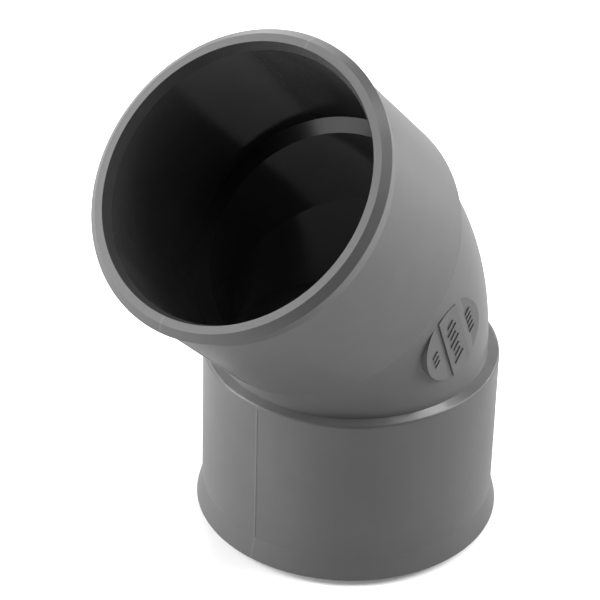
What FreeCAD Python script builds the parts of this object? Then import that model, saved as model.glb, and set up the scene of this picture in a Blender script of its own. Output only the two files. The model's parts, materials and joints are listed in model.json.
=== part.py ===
"""45-degree elbow with two solvent-weld sockets for 50 mm pipe, in rigid PVC.

The frame: the origin is the centre of the lower socket's mouth, +Z runs up the lower
socket's axis, and the bend lies in the XZ plane, so the upper socket leans towards -X.
Both sockets are alike. Each is drawn once, by its distance from the point where the two
axes cross, and is then turned into its place. All sizes are in millimetres.
"""

import FreeCAD
import Part

import math
import os

# ---- driving dimensions ------------------------------------------------------------
PIPE_OD = 50.0                  # pipe that the sockets take
PIPE_CLEARANCE = 0.2            # bore of a socket over the pipe, on diameter
SOCKET_WALL = 2.85              # wall of a socket's barrel
SOCKET_DEPTH = 33.3             # from a mouth to the edge of its pipe stop
BEND_ANGLE = 45.0               # turn of the flow, degrees
BEND_RADIUS = 35.7              # of the bend's centre line
NECK_BORE = 44.9                # bore of the bend at either stop
NECK_TAPER = 0.95               # how much narrower it is in the middle, on radius
NECK_WALL = 3.25                # wall of the bend at either stop

STOP_SLOPE = 1.25               # how far a stop's face leans back towards the bend
SHOULDER_DROP = 0.25            # fall of a shoulder's ledge from the neck to its edge
SHOULDER_ROUND = 0.5            # radius of a shoulder's outer edge

LEAD_IN_WIDTH = 0.8             # the mouth's lead-in cone, on radius
LEAD_IN_DEPTH = 2.1
RIM_FACE_WIDTH = 1.45           # flat ring that a mouth stands on
RIM_PROUD = 0.78                # how far the rim stands out from the barrel
RIM_EDGE_DROP = 1.25            # depth of the chamfer from the flat ring to the rim's edge
RIM_BAND = 0.15                 # straight band around the rim
RIM_LENGTH = 4.6                # from the mouth to where the rim's taper meets the barrel
LOWER_RIM_EXTRA = 1.05          # the lower rim's taper runs on by this much further

SEAM_WIDTH = 0.45               # witness line of the mould's two halves
SEAM_PROUD = 0.05
SEAM_ROOT = 0.6                 # how deep the line's foot goes into the wall

PAD_RADIUS = 7.9                # round marking pad on the side of the bend
PAD_OFFSET = 3.85               # its centre, from the crossing of the axes to the throat
PAD_DROP = 0.5                  # its centre, below the bend's middle along the flow
PAD_SUNK = 0.3                  # its face under the bend's highest line
BAND_WIDTH = 5.2                # raised band across the pad
BAND_PROUD = 0.42               # its face over the pad's
MARK_PROUD = 0.25               # raised marks over the face they stand on
MARK_WIDTH = 0.55
MARK_LEAN = 24.0                # degrees
BAND_MARK_LENGTHS = (3.0, 1.9, 1.9, 3.0, 1.9, 3.0, 1.9)
BAND_MARK_PITCH = 1.5
HEEL_MARK_LENGTHS = (1.6, 1.6, 1.6, 1.6, 1.6)
THROAT_MARK_LENGTHS = (1.6, 1.6, 1.6)
SIDE_MARK_PITCH = 1.2
SIDE_MARK_GAP = 2.6             # from the band's edge to the middle of the marks beside it

# ---- sizes worked out from them ------------------------------------------------------
HALF_TURN = math.radians(BEND_ANGLE / 2)
BORE_R = (PIPE_OD + PIPE_CLEARANCE) / 2
BARREL_R = BORE_R + SOCKET_WALL
NECK_BORE_R = NECK_BORE / 2
MIDDLE_BORE_R = NECK_BORE_R - NECK_TAPER
NECK_R = NECK_BORE_R + NECK_WALL
RIM_R = BARREL_R + RIM_PROUD
MOUTH_R = BORE_R + LEAD_IN_WIDTH
RIM_FACE_R = MOUTH_R + RIM_FACE_WIDTH

BEND_END = BEND_RADIUS * math.tan(HALF_TURN)    # crossing of the axes to the bend's ends
STOP_EDGE = BEND_END + STOP_SLOPE
MOUTH = STOP_EDGE + SOCKET_DEPTH                # crossing of the axes to the upper mouth
RIM_END = MOUTH - RIM_LENGTH

UP = FreeCAD.Vector(0, 0, 1)
ACROSS = FreeCAD.Vector(0, 1, 0)
RIM_SLOPE = RIM_PROUD / (RIM_LENGTH - RIM_EDGE_DROP - RIM_BAND)
CROSSING = FreeCAD.Vector(0, 0, MOUTH + LOWER_RIM_EXTRA)


def exported(name, shape):
    """Write one sub-part to parts/NAME.step."""
    shape.exportStep("parts/" + name + ".step")


def point(radius, along):
    """A point of a socket's section, which is drawn in the XZ half-plane."""
    return FreeCAD.Vector(radius, 0, along)


def line(start, end):
    return Part.LineSegment(start, end).toShape()


def arc(centre, radius, start_deg, end_deg):
    """An arc in the XZ plane, with its angles counted from +X towards +Z."""
    ends = []
    for turn in (start_deg, (start_deg + end_deg) / 2, end_deg):
        along = FreeCAD.Vector(math.cos(math.radians(turn)), 0, math.sin(math.radians(turn)))
        ends.append(centre + along * radius)
    return Part.Arc(*ends).toShape()


def turned(edges):
    """The solid that a closed section makes around the Z axis."""
    section = Part.Face(Part.Wire(Part.sortEdges(edges)[0]))
    return section.revolve(FreeCAD.Vector(0, 0, 0), UP, 360)


def chain(points):
    """Straight edges through the points, in order."""
    return [line(start, end) for start, end in zip(points, points[1:])]


# ---- one socket, with its axis on Z and the crossing of the axes at the origin ---------
def rim(extra):
    """Mouth ring: lead-in cone, flat face, chamfered edge, and a taper into the barrel."""
    mouth = MOUTH + extra
    edge_r = RIM_R + extra * RIM_SLOPE
    band_start = mouth - RIM_EDGE_DROP
    corners = [
        point(MOUTH_R, mouth),
        point(RIM_FACE_R, mouth),
        point(edge_r, band_start),
        point(edge_r, band_start - RIM_BAND),
        point(BARREL_R, RIM_END),
        point(BORE_R, RIM_END),
        point(BORE_R, mouth - LEAD_IN_DEPTH),
    ]
    return turned(chain(corners + corners[:1]))


def barrel():
    """Plain tube that grips the pipe, with the mould's witness line on two sides."""
    corners = [
        point(BORE_R, STOP_EDGE),
        point(BARREL_R, STOP_EDGE),
        point(BARREL_R, RIM_END),
        point(BORE_R, RIM_END),
    ]
    tube = turned(chain(corners + corners[:1]))
    length = RIM_END - STOP_EDGE
    for low_x in (-BARREL_R - SEAM_PROUD, BARREL_R - SEAM_ROOT):
        low = FreeCAD.Vector(low_x, -SEAM_WIDTH / 2, STOP_EDGE)
        tube = tube.fuse(Part.makeBox(SEAM_ROOT + SEAM_PROUD, SEAM_WIDTH, length, low))
    return tube.removeSplitter()


def stop():
    """Ring between barrel and bend: a leaning pipe stop inside, a shoulder outside."""
    edge = BEND_END + SHOULDER_DROP
    round_centre = point(BARREL_R - SHOULDER_ROUND, edge + SHOULDER_ROUND)
    edges = chain([
        point(BARREL_R, edge + SHOULDER_ROUND),
        point(BARREL_R, STOP_EDGE),
        point(BORE_R, STOP_EDGE),
        point(NECK_BORE_R, BEND_END),
        point(NECK_R, BEND_END),
        point(BARREL_R - SHOULDER_ROUND, edge),
    ])
    edges.append(arc(round_centre, SHOULDER_ROUND, -90, 0))
    return turned(edges)


def placed_low(shape):
    """Turn a socket's piece to face down, with its mouth on the ground plane."""
    placed = shape.copy()
    placed.rotate(FreeCAD.Vector(0, 0, 0), FreeCAD.Vector(1, 0, 0), 180)
    placed.translate(CROSSING)
    return placed


def placed_high(shape):
    """Lean a socket's piece over towards -X by the bend's angle."""
    placed = shape.copy()
    placed.rotate(FreeCAD.Vector(0, 0, 0), ACROSS, -BEND_ANGLE)
    placed.translate(CROSSING)
    return placed


# ---- the bend --------------------------------------------------------------------------
def swept(radius):
    """A rod of this radius around the bend's centre line."""
    disc = Part.Face(Part.Wire(Part.makeCircle(radius, FreeCAD.Vector(0, 0, CROSSING.z - BEND_END), UP)))
    return disc.revolve(bend_centre(), ACROSS, -BEND_ANGLE)


def bend_centre():
    return FreeCAD.Vector(-BEND_RADIUS, 0, CROSSING.z - BEND_END)


def half_bore():
    """The bore from the lower stop to the bend's middle, narrowing on the way."""
    hub = bend_centre()
    path = Part.Wire(arc(hub, BEND_RADIUS, 0, BEND_ANGLE / 2))
    way = FreeCAD.Vector(-math.sin(HALF_TURN), 0, math.cos(HALF_TURN))
    middle = hub + FreeCAD.Vector(math.cos(HALF_TURN), 0, math.sin(HALF_TURN)) * BEND_RADIUS
    start = FreeCAD.Vector(0, 0, CROSSING.z - BEND_END)
    wide = Part.Wire(Part.makeCircle(NECK_BORE_R, start, UP))
    narrow = Part.Wire(Part.makeCircle(MIDDLE_BORE_R, middle, way))
    return path.makePipeShell([wide, narrow], True, False)


def bore():
    """Both halves of the bore, which meet in a fine ridge in the bend's middle."""
    lower = half_bore()
    upper = lower.mirror(CROSSING, FreeCAD.Vector(-math.sin(HALF_TURN), 0, math.cos(HALF_TURN)))
    return lower.fuse(upper)


def heel_seam():
    """The mould's witness line over the bend's heel."""
    low = FreeCAD.Vector(NECK_R - SEAM_ROOT, -SEAM_WIDTH / 2, CROSSING.z - BEND_END)
    strip = Part.makePlane(SEAM_ROOT + SEAM_PROUD, SEAM_WIDTH, low)
    return strip.revolve(bend_centre(), ACROSS, -BEND_ANGLE)


def bend():
    """Curved tube between the two stops."""
    tube = swept(NECK_R).cut(bore())
    return tube.fuse(heel_seam()).removeSplitter()


# ---- the marking on the bend's side ------------------------------------------------------
# Marks are laid out flat, in the XY plane: X runs from the throat to the heel, Y along the
# flow and Z out of the face. on_side() then stands them on the bend's -Y side.
def on_side(shape):
    placed = shape.copy()
    placed.rotate(FreeCAD.Vector(0, 0, 0), FreeCAD.Vector(1, 0, 0), 90)
    placed.rotate(FreeCAD.Vector(0, 0, 0), ACROSS, -BEND_ANGLE / 2)
    throat = FreeCAD.Vector(-math.cos(HALF_TURN), 0, -math.sin(HALF_TURN))
    placed.translate(CROSSING + throat * PAD_OFFSET)
    down = FreeCAD.Vector(math.sin(HALF_TURN), 0, -math.cos(HALF_TURN))
    placed.translate(down * PAD_DROP)
    return placed


def pad_level():
    return NECK_R - PAD_SUNK


def band_level():
    return pad_level() + BAND_PROUD


def disc(top):
    """A rod under the pad's outline, from the bend's middle plane to this level."""
    return Part.makeCylinder(PAD_RADIUS, top)


def pad_part(side):
    """The pad's flat face on one side of the bend's highest line: -1 throat, 1 heel."""
    low = FreeCAD.Vector(min(0, side * PAD_RADIUS), -PAD_RADIUS, 0)
    half = Part.makeBox(PAD_RADIUS, 2 * PAD_RADIUS, pad_level(), low)
    return on_side(disc(pad_level()).common(half)).cut(swept(NECK_R))


def band():
    """Raised band across the pad, trimmed by the pad's round edge."""
    low = FreeCAD.Vector(-BAND_WIDTH / 2, -PAD_RADIUS, 0)
    strip = Part.makeBox(BAND_WIDTH, 2 * PAD_RADIUS, band_level(), low)
    block = on_side(strip.common(disc(band_level())))
    return block.cut(swept(NECK_R)).cut(pad_part(-1)).cut(pad_part(1))


def mark(x, y, length, level):
    """One raised bar, leaning across the flow."""
    low = FreeCAD.Vector(-length / 2, -MARK_WIDTH / 2, 0)
    bar = Part.makeBox(length, MARK_WIDTH, MARK_PROUD, low)
    bar.rotate(FreeCAD.Vector(0, 0, 0), UP, MARK_LEAN)
    bar.translate(FreeCAD.Vector(x, y, level))
    return bar


def mark_row(x, lengths, pitch, level):
    """Bars spaced evenly along the flow, centred on the pad."""
    middle = (len(lengths) - 1) / 2
    bars = []
    for place, length in enumerate(lengths):
        bars.append(mark(x, (place - middle) * pitch, length, level))
    return on_side(Part.makeCompound(bars)).cut(swept(NECK_R))


# ---- export ------------------------------------------------------------------------------
def main():
    os.makedirs("parts", exist_ok=True)
    exported("lower_rim", placed_low(rim(LOWER_RIM_EXTRA)))
    exported("upper_rim", placed_high(rim(0)))
    for name, shape in (("socket", barrel()), ("stop", stop())):
        exported("lower_" + name, placed_low(shape))
        exported("upper_" + name, placed_high(shape))
    exported("bend_body", bend())
    exported("throat_pad", pad_part(-1))
    exported("heel_pad", pad_part(1))
    exported("marking_band", band())
    side = BAND_WIDTH / 2 + SIDE_MARK_GAP
    exported("band_marks", mark_row(0, BAND_MARK_LENGTHS, BAND_MARK_PITCH, band_level()))
    exported("heel_marks", mark_row(side, HEEL_MARK_LENGTHS, SIDE_MARK_PITCH, pad_level()))
    exported("throat_marks", mark_row(-side, THROAT_MARK_LENGTHS, SIDE_MARK_PITCH, pad_level()))


main()
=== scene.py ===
"""A loose 45-degree pipe elbow in grey rigid PVC, dressed and lit around its fixed frame.

Lengths are in metres in the frame's own axes: the lower socket stands on z = 0 with its
mouth at the origin, and the upper socket leans towards -X.
"""

import json
import logging
import math
from dataclasses import dataclass
from enum import Enum

import bmesh
import bpy
from mathutils import Matrix, Vector


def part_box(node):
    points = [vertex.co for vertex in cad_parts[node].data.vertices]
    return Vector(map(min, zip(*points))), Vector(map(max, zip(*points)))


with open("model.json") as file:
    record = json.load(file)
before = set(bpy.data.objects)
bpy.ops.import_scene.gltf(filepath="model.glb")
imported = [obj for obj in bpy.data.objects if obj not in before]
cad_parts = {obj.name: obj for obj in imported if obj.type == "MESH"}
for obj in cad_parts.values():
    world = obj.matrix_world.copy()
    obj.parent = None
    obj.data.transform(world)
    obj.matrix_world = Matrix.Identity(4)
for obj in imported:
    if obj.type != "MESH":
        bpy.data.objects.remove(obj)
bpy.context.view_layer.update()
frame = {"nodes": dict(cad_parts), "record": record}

log = logging.getLogger("elbow")
MM = 0.001

# Width of the change from one skin of the plastic to the other.
SKIN_EDGE = 0.05 * MM

# A Mix node repeats its socket names for each kind of data, so its colours go by number.
MIX_FIRST, MIX_SECOND, MIX_RESULT = 6, 7, 2


# ---- shader maths --------------------------------------------------------------------
class Signal:
    """A number that varies over a surface: one node socket with arithmetic."""

    def __init__(self, sheet: "NodeSheet", socket: bpy.types.NodeSocket) -> None:
        """Wrap a socket.

        Args:
            sheet: The node sheet that the socket belongs to.
            socket: The output that carries the number.
        """
        self.sheet = sheet
        self.socket = socket

    def __add__(self, other: "Number") -> "Signal":
        """Add."""
        return self.sheet.maths("ADD", self, other)

    def __radd__(self, other: "Number") -> "Signal":
        """Add, with the number on the left."""
        return self.sheet.maths("ADD", other, self)

    def __sub__(self, other: "Number") -> "Signal":
        """Subtract."""
        return self.sheet.maths("SUBTRACT", self, other)

    def __rsub__(self, other: "Number") -> "Signal":
        """Subtract from a number."""
        return self.sheet.maths("SUBTRACT", other, self)

    def __mul__(self, other: "Number") -> "Signal":
        """Multiply."""
        return self.sheet.maths("MULTIPLY", self, other)

    def __rmul__(self, other: "Number") -> "Signal":
        """Multiply, with the number on the left."""
        return self.sheet.maths("MULTIPLY", other, self)

    def __abs__(self) -> "Signal":
        """The size without its sign."""
        return self.sheet.maths("ABSOLUTE", self)

    def below(self, limit: float, blur: float) -> "Signal":
        """A mask of where the number is under a limit.

        Args:
            limit: Where the mask is one half.
            blur: Width of the change from 1 to 0.

        Returns:
            1 under the limit and 0 over it.
        """
        return self.sheet.step(self, limit - blur / 2, limit + blur / 2, 1.0, 0.0)

    def near(self, value: float, reach: float) -> "Signal":
        """A soft band, 1 at a value and 0 from a distance of reach."""
        return self.sheet.step(abs(self - value), 0.0, reach, 1.0, 0.0)


Number = Signal | float
Colour = tuple[float, float, float]


class NodeSheet:
    """The node tree of one material, with short ways to add nodes."""

    def __init__(self, name: str) -> None:
        """Make an empty material.

        Args:
            name: The material's name.
        """
        self.material = bpy.data.materials.new(name)
        self.material.use_nodes = True
        self.tree = self.material.node_tree
        self.tree.nodes.clear()

    def node(self, kind: str, settings: dict | None = None, inputs: dict | None = None) -> bpy.types.Node:
        """Add a node.

        Args:
            kind: The node's type, without its ShaderNode prefix.
            settings: Attributes of the node, which are set first.
            inputs: Values, signals or sockets, by the name or number of the input.

        Returns:
            The new node.
        """
        made = self.tree.nodes.new("ShaderNode" + kind)
        for name, value in (settings or {}).items():
            setattr(made, name, value)
        for name, value in (inputs or {}).items():
            if isinstance(value, Signal):
                value = value.socket
            if isinstance(value, bpy.types.NodeSocket):
                self.tree.links.new(value, made.inputs[name])
            else:
                made.inputs[name].default_value = value
        return made

    def maths(self, operation: str, *values: Number) -> Signal:
        """Join numbers by one Math node.

        Args:
            operation: The Math node's operation.
            values: Signals or plain numbers, in the node's order.

        Returns:
            The result.
        """
        made = self.node("Math", {"operation": operation}, dict(enumerate(values)))
        return Signal(self, made.outputs[0])

    def step(self, value: Signal, low: float, high: float, at_low: float, at_high: float) -> Signal:
        """A smooth step from one number to another.

        Args:
            value: What drives the step.
            low: Where the step starts.
            high: Where it ends.
            at_low: The number up to low.
            at_high: The number from high on.

        Returns:
            The stepped number.
        """
        made = self.node(
            "MapRange",
            {"interpolation_type": "SMOOTHSTEP"},
            {"Value": value, "From Min": low, "From Max": high, "To Min": at_low, "To Max": at_high},
        )
        return Signal(self, made.outputs["Result"])

    def vector(self, operation: str, *values: object) -> bpy.types.NodeSocket:
        """Join vectors by one Vector Math node that gives a vector."""
        made = self.node("VectorMath", {"operation": operation}, dict(enumerate(values)))
        return made.outputs["Vector"]

    def measure(self, operation: str, *values: object) -> Signal:
        """Join vectors by one Vector Math node that gives a number."""
        made = self.node("VectorMath", {"operation": operation}, dict(enumerate(values)))
        return Signal(self, made.outputs["Value"])

    def mixed(self, factor: Number, first: object, second: object) -> bpy.types.NodeSocket:
        """Mix two colours.

        Args:
            factor: 0 for the first and 1 for the second.
            first: A socket, or red, green and blue.
            second: The same.

        Returns:
            The mixed colour's socket.
        """
        colours = [(*c, 1.0) if isinstance(c, tuple) else c for c in (first, second)]
        inputs = {"Factor": factor, MIX_FIRST: colours[0], MIX_SECOND: colours[1]}
        return self.node("Mix", {"data_type": "RGBA"}, inputs).outputs[MIX_RESULT]

    def noise(self, where: object, size: float, detail: float = 2.0, roughness: float = 0.5) -> Signal:
        """Cloudy noise from 0 to 1.

        Args:
            where: The vector to look it up by, in metres.
            size: Width of one cloud, in metres.
            detail: How many finer layers it has.
            roughness: How strong the finer layers are.

        Returns:
            The noise.
        """
        made = self.node(
            "TexNoise",
            {"noise_dimensions": "3D"},
            {"Vector": where, "Scale": 1.0 / size, "Detail": detail, "Roughness": roughness},
        )
        return Signal(self, made.outputs["Fac"])


# ---- places, all from the frame -------------------------------------------------------
@dataclass(frozen=True)
class Layout:
    """Where the fitting's axes cross, and its main sizes, as the frame has them."""

    crossing: Vector
    lean: Vector
    mouth: float
    bore_r: float
    barrel_r: float
    neck_r: float
    bend_r: float

    @classmethod
    def from_frame(cls) -> "Layout":
        """Read the layout from the record's mounts and the nodes' boxes.

        Returns:
            The layout.
        """
        mounts = {m["name"]: m for m in frame["record"]["mounts"]}
        lean = Vector(mounts["upper_rim_face"]["axis"]).normalized()
        upper = Vector(mounts["upper_rim_face"]["pos_m"])
        mouth = upper.x / lean.x
        low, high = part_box("lower_socket")
        neck_low, neck_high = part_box("bend_body")
        half_turn = math.acos(lean.z) / 2
        crossing = upper - lean * mouth
        bend_end = crossing.z - neck_low.z
        return cls(
            crossing=crossing,
            lean=lean,
            mouth=mouth,
            bore_r=mounts["lower_socket"]["dims"]["r_mm"] * MM,
            barrel_r=(high.y - low.y) / 2,
            neck_r=(neck_high.y - neck_low.y) / 2,
            bend_r=bend_end / math.tan(half_turn),
        )

    def on_axis(self, axis: Vector) -> Vector:
        """The point on an axis that is as far from the crossing as the upper mouth is."""
        return self.crossing + axis * self.mouth


# ---- finishes ---------------------------------------------------------------------------
@dataclass(frozen=True)
class Skin:
    """One side of the moulding: its greys, and how much and how sharply it shines."""

    grey: Colour
    streak: Colour
    roughness: float
    gleam: float
    peel: float


class Side(Enum):
    """The skins that the mould leaves on the plastic: their roughness, gleam and peel. The bore's darker
    greys are painted shade and the ledge's lighter greys are painted light.
    """

    OUTSIDE = Skin((0.080, 0.079, 0.080), (0.086, 0.085, 0.086), roughness=0.30, gleam=0.35, peel=1.0)
    # Darker greys than the outside's: painted shade inside the bore; its roughness, gleam and peel are
    # the bore's own.
    BORE = Skin((0.050, 0.049, 0.050), (0.056, 0.055, 0.056), roughness=0.16, gleam=1.0, peel=0.2)
    # Lighter greys than the outside's: painted light on the stops' ledges; its roughness, gleam and peel
    # are the ledge's own.
    LEDGE = Skin((0.104, 0.102, 0.104), (0.116, 0.114, 0.116), roughness=0.16, gleam=0.6, peel=0.1)

    def over(self, other: "Side", size: str) -> float:
        """How much more of one of its sizes this skin has than another."""
        return getattr(self.value, size) - getattr(other.value, size)


@dataclass(frozen=True)
class MouldedPvc:
    """Rigid PVC as it leaves the mould, with painted shade in the bore and painted light on the ledges.
    """

    ior: float = 1.53
    cloud_size: float = 9 * MM
    cloud_span: tuple[float, float] = (0.35, 0.75)
    rough_unevenness: float = 0.2
    peel_size: float = 1.1 * MM
    grain_size: float = 0.16 * MM
    grain_share: float = 0.25
    peel_height_mm: float = 0.007
    matt_shine: float = 0.0
    full_shine: float = 0.5
    # Paler grey: the mould seams' own, and painted light at the neck's foot.
    seam_and_painted_light_grey: Colour = (0.150, 0.146, 0.146)

    def dress(
        self,
        name: str,
        sheet: NodeSheet,
        where: object,
        bore: Number = 0.0,
        seam_and_painted_light_share: Number = 0.0,
        relief: Number = 0.0,
        ledge: Number = 0.0,
    ) -> bpy.types.Material:
        """Finish a material from the masks of its skins.

        Args:
            name: What is dressed, for the log.
            sheet: The sheet that the masks belong to.
            where: The surface point.
            bore: 1 on the bore's skin and 0 outside; it brings the bore's finish and its darker grey,
                which is painted shade.
            seam_and_painted_light_share: How far the colour goes to the paler grey: for the mould seams,
                and as painted light at the neck's foot.
            relief: A height over the surface, in millimetres, that the light picks out.
            ledge: 1 on a shoulder's ledge and 0 elsewhere; it brings the ledge's glossier finish and its
                lighter grey, which is painted light.

        Returns:
            The material.
        """
        clouds = sheet.noise(where, self.cloud_size, detail=4.0, roughness=0.6)
        streaks = sheet.step(clouds, *self.cloud_span, 0.0, 1.0)
        # The bore's darker greys are painted shade and the ledge's lighter greys are painted light; the
        # outside's greys and streaks are the plastic's own.
        outer, bore_painted_shade, ledge_painted_light = (sheet.mixed(streaks, side.value.grey, side.value.streak) for side in Side)
        colour = sheet.mixed(ledge, sheet.mixed(bore, outer, bore_painted_shade), ledge_painted_light)
        roughness, gleam, peel = (
            bore * Side.BORE.over(Side.OUTSIDE, size)
            + ledge * Side.LEDGE.over(Side.OUTSIDE, size)
            + getattr(Side.OUTSIDE.value, size)
            for size in ("roughness", "gleam", "peel")
        )
        ripple = sheet.noise(where, self.peel_size, detail=1.0)
        grain = sheet.noise(where, self.grain_size, detail=2.0)
        height = (ripple + grain * self.grain_share) * peel * self.peel_height_mm + relief
        bump = sheet.node("Bump", {}, {"Strength": 1.0, "Distance": MM, "Height": height})
        least_rough = 1.0 - self.rough_unevenness / 2
        # The base colour goes towards the paler grey on the seams, and as painted light at the neck's
        # foot.
        shared = {
            "Base Color": sheet.mixed(seam_and_painted_light_share, colour, self.seam_and_painted_light_grey),
            "Roughness": roughness * (clouds * self.rough_unevenness + least_rough),
            "IOR": self.ior,
            "Normal": bump.outputs["Normal"],
        }
        shaders = {0: gleam}
        for place, shine in enumerate((self.matt_shine, self.full_shine), start=1):
            made = sheet.node("BsdfPrincipled", {}, {**shared, "Specular IOR Level": shine})
            shaders[place] = made.outputs["BSDF"]
        both = sheet.node("MixShader", {}, shaders)
        sheet.node("OutputMaterial", {}, {"Surface": both.outputs[0]})
        log.info("finish %s", name)
        return sheet.material


def surface_point(sheet: NodeSheet) -> bpy.types.NodeSocket:
    """The shaded point in the frame's own axes, in metres."""
    return sheet.node("TexCoord").outputs["Object"]


def wear(piece: bpy.types.Object, material: bpy.types.Material) -> None:
    """Put one material on the whole of a piece."""
    piece.data.materials.clear()
    piece.data.materials.append(material)


# ---- the fitting's sub-assemblies ----------------------------------------------------------
class End(Enum):
    """The two sockets, by the prefix of their nodes."""

    LOWER = "lower"
    UPPER = "upper"


@dataclass
class SocketEnd:
    """One socket: rim, barrel and stop, dressed by distance from its axis."""

    end: End
    layout: Layout
    pvc: MouldedPvc
    lead_in: float = 0.8 * MM
    rim_margin: float = 0.03 * MM
    seam_reach: float = 0.35 * MM
    seam_paleness: float = 0.30
    throat_blur: float = 1.0 * MM
    ledge_fall: float = 0.40
    ledge_edge: float = 0.35 * MM
    ledge_blur: float = 0.3 * MM

    def axis(self) -> Vector:
        """The way out of this socket's mouth."""
        return Vector((0.0, 0.0, -1.0)) if self.end is End.LOWER else self.layout.lean

    def dress(self) -> None:
        """Give each of the three nodes its own finish."""
        limits = {
            "rim": self.layout.bore_r + self.lead_in - self.rim_margin,
            "socket": (self.layout.bore_r + self.layout.barrel_r) / 2,
            "stop": (self.layout.bore_r + self.layout.neck_r) / 2,
        }
        for part, limit in limits.items():
            name = f"{self.end.value}_{part}"
            sheet = NodeSheet(name)
            where = surface_point(sheet)
            radius = self._radius(sheet, where)
            # The bore mask brings the bore's finish and its darker grey, which is painted shade.
            bore = radius.below(limit, SKIN_EDGE)
            outside = 1.0 - bore
            seam = self._seam(sheet, where) * outside * self.seam_paleness
            relief, ledge = 0.0, 0.0
            if part == "stop":
                relief = radius * outside * (-self.ledge_fall / MM)
                # The ledge mask brings the ledge's glossier finish and its lighter grey, which is painted
                # light.
                ledge = radius.below(self.layout.barrel_r - self.ledge_edge, self.ledge_blur) * outside
            wear(frame["nodes"][name], self.pvc.dress(name, sheet, where, bore, seam, relief, ledge))

    def _radius(self, sheet: NodeSheet, where: object) -> Signal:
        """How far a point is from the socket's axis.

        Args:
            sheet: The sheet to work it out on.
            where: The surface point.

        Returns:
            The distance in metres.
        """
        from_axis = sheet.vector("SUBTRACT", where, self.layout.on_axis(self.axis()))
        along = sheet.measure("DOT_PRODUCT", from_axis, self.axis())
        length = sheet.measure("LENGTH", from_axis)
        return sheet.maths("SQRT", length * length - along * along)

    def _seam(self, sheet: NodeSheet, where: object) -> Signal:
        """The pale line that the mould's halves leave along the throat side.

        Args:
            sheet: The sheet to work it out on.
            where: The surface point.

        Returns:
            1 on the line and 0 away from it.
        """
        split = sheet.node("SeparateXYZ", {}, {"Vector": where})
        x, y = (Signal(sheet, split.outputs[name]) for name in "XY")
        return y.near(0.0, self.seam_reach) * x.below(0.0, self.throat_blur)


@dataclass
class Bend:
    """The curved neck between the stops."""

    layout: Layout
    pvc: MouldedPvc
    mid_wall: float = 1.6 * MM
    foot_reach: float = 3.0 * MM
    foot_painted_light_share: float = 0.35

    def dress(self) -> None:
        """Give the neck its finish, by distance from the bend's centre line, with a paler band at its
        foot as painted light.
        """
        sheet = NodeSheet("bend_body")
        where = surface_point(sheet)
        low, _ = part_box("bend_body")
        hub = Vector((-self.layout.bend_r, 0.0, low.z))
        from_hub = sheet.vector("SUBTRACT", where, hub)
        split = sheet.node("SeparateXYZ", {}, {"Vector": from_hub})
        x, y, z = (Signal(sheet, split.outputs[name]) for name in "XYZ")
        out = sheet.maths("SQRT", x * x + z * z) - self.layout.bend_r
        radius = sheet.maths("SQRT", out * out + y * y)
        # The bore mask brings the bore's finish and its darker grey, which is painted shade.
        bore = radius.below(self.layout.neck_r - self.mid_wall, SKIN_EDGE)
        # Painted light: the neck's lowest few millimetres, just over the lower stop's ledge, go towards
        # the paler grey, lifting the crease's shade.
        foot_painted_light = z.near(0.0, self.foot_reach) * (1.0 - bore) * self.foot_painted_light_share
        wear(frame["nodes"]["bend_body"], self.pvc.dress("bend_body", sheet, where, bore, foot_painted_light))


@dataclass
class Marking:
    """The two pads on the bend's side, the band between them and the raised bars."""

    pvc: MouldedPvc
    nodes: tuple[str, ...] = (
        "throat_pad",
        "heel_pad",
        "marking_band",
        "band_marks",
        "heel_marks",
        "throat_marks",
    )

    def dress(self) -> None:
        """Give the pad and what stands on it the outside finish."""
        for name in self.nodes:
            sheet = NodeSheet(name)
            wear(frame["nodes"][name], self.pvc.dress(name, sheet, surface_point(sheet)))


# ---- the studio ----------------------------------------------------------------------------
@dataclass(frozen=True)
class Softbox:
    """A square area light that faces the fitting: angles in degrees, power in watts."""

    name: str
    azimuth: float
    elevation: float
    power: float
    distance: float = 0.8
    size: float = 0.4

    def place(self, target: Vector) -> None:
        """Hang the light.

        Args:
            target: The point it faces.
        """
        data = bpy.data.lights.new(self.name, "AREA")
        data.shape = "SQUARE"
        data.size = self.size
        data.energy = self.power
        light = bpy.data.objects.new(self.name, data)
        bpy.context.scene.collection.objects.link(light)
        away = direction(self.azimuth, self.elevation)
        light.location = target + away * self.distance
        light.rotation_euler = away.to_track_quat("Z", "Y").to_euler()


def direction(azimuth: float, elevation: float) -> Vector:
    """The way from the fitting to a place around it.

    Args:
        azimuth: Degrees; 0 is the -Y side and 90 the +X side.
        elevation: Degrees above the horizon.

    Returns:
        A unit vector.
    """
    turn, rise = math.radians(azimuth), math.radians(elevation)
    return Vector((math.sin(turn) * math.cos(rise), -math.cos(turn) * math.cos(rise), math.sin(rise)))


@dataclass(frozen=True)
class View:
    """The camera: a long lens from above, on the marked side of the upper mouth."""

    azimuth: float = -51.91
    elevation: float = 32.17
    roll: float = 1.52
    distance: float = 496.2 * MM
    lens: float = 164.2
    sensor: float = 36.0
    nearest: float = 10 * MM
    aim: Vector = Vector((-16.01, 0.0, 2.04)) * MM

    def place(self, layout: Layout) -> None:
        """Set the camera up.

        Args:
            layout: Where the fitting is; aim is counted from its crossing.
        """
        data = bpy.data.cameras.new("camera")
        data.lens = self.lens
        data.sensor_width = self.sensor
        data.clip_start = self.nearest
        camera = bpy.data.objects.new("camera", data)
        bpy.context.scene.collection.objects.link(camera)
        back = direction(self.azimuth, self.elevation)
        level = back.to_track_quat("Z", "Y").to_matrix()
        tilt = Matrix.Rotation(math.radians(self.roll), 3, "Z")
        camera.matrix_world = (level @ tilt).to_4x4()
        camera.location = layout.crossing + self.aim + back * self.distance
        bpy.context.scene.camera = camera


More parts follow.
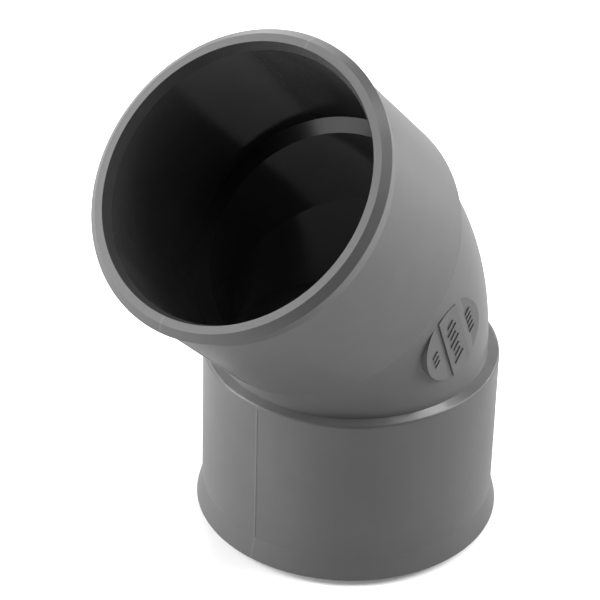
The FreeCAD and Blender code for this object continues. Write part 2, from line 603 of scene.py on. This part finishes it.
@dataclass(frozen=True)
class Studio:
    """White floor, dark surroundings and soft lights."""

    floor_size: float = 14.0
    floor_white: float = 0.8
    floor_glow: float = 0.16
    floor_roughness: float = 0.9
    floor_shine: float = 0.1
    surround: float = 0.0
    lights: tuple[Softbox, ...] = (
        Softbox("back_left_low", -142.0, 8.0, 7.91),
        Softbox("back_left_high", -142.0, 35.0, 5.33),
        Softbox("back_low", -172.0, 8.0, 1.27),
        Softbox("left_low", -112.0, 8.0, 1.07),
        Softbox("left_high", -112.0, 35.0, 0.45),
        Softbox("right_front_high", 38.0, 35.0, 5.50),
        Softbox("right_front_low", 38.0, 8.0, 1.90),
        Softbox("right_low", 68.0, 8.0, 4.49),
        Softbox("right_top", 68.0, 60.0, 0.90),
        Softbox("behind_right_low", 128.0, 8.0, 4.28),
        Softbox("behind_right_high", 128.0, 35.0, 3.30),
        Softbox("behind_low", 158.0, 8.0, 1.21),
        Softbox("over_front", 8.0, 60.0, 1.15),
        Softbox("glint", 60.0, 59.0, 1.20, size=0.20),
    )

    def build(self, layout: Layout) -> None:
        """Make the floor, the surroundings and the lights.

        Args:
            layout: Where the fitting is.
        """
        self._floor()
        self._surroundings()
        for light in self.lights:
            light.place(layout.crossing)
        settings = bpy.context.scene.view_settings
        settings.view_transform = "Standard"

    def _floor(self) -> None:
        """A plain white sheet to stand on."""
        mesh = bpy.data.meshes.new("floor")
        shape = bmesh.new()
        bmesh.ops.create_grid(shape, x_segments=1, y_segments=1, size=self.floor_size / 2)
        shape.to_mesh(mesh)
        shape.free()
        floor = bpy.data.objects.new("floor", mesh)
        bpy.context.scene.collection.objects.link(floor)
        sheet = NodeSheet("floor_white")
        white = (self.floor_white,) * 3
        shader = sheet.node(
            "BsdfPrincipled",
            {},
            {
                "Base Color": (*white, 1.0),
                "Roughness": self.floor_roughness,
                "Specular IOR Level": self.floor_shine,
                "Emission Color": (1.0, 1.0, 1.0, 1.0),
                "Emission Strength": self.floor_glow,
            },
        )
        sheet.node("OutputMaterial", {}, {"Surface": shader.outputs["BSDF"]})
        wear(floor, sheet.material)

    def _surroundings(self) -> None:
        """Dark surroundings, so that only the softboxes and the floor light the fitting."""
        world = bpy.data.worlds.new("surroundings")
        world.use_nodes = True
        background = world.node_tree.nodes["Background"]
        background.inputs["Strength"].default_value = self.surround
        bpy.context.scene.world = world


def main() -> None:
    """Dress the fitting's parts, then set up the studio and the camera."""
    logging.basicConfig(level=logging.INFO, format="%(name)s: %(message)s")
    layout = Layout.from_frame()
    pvc = MouldedPvc()
    for end in End:
        SocketEnd(end, layout, pvc).dress()
    Bend(layout, pvc).dress()
    Marking(pvc).dress()
    View().place(layout)
    Studio().build(layout)


if __name__ == "__main__":
    main()
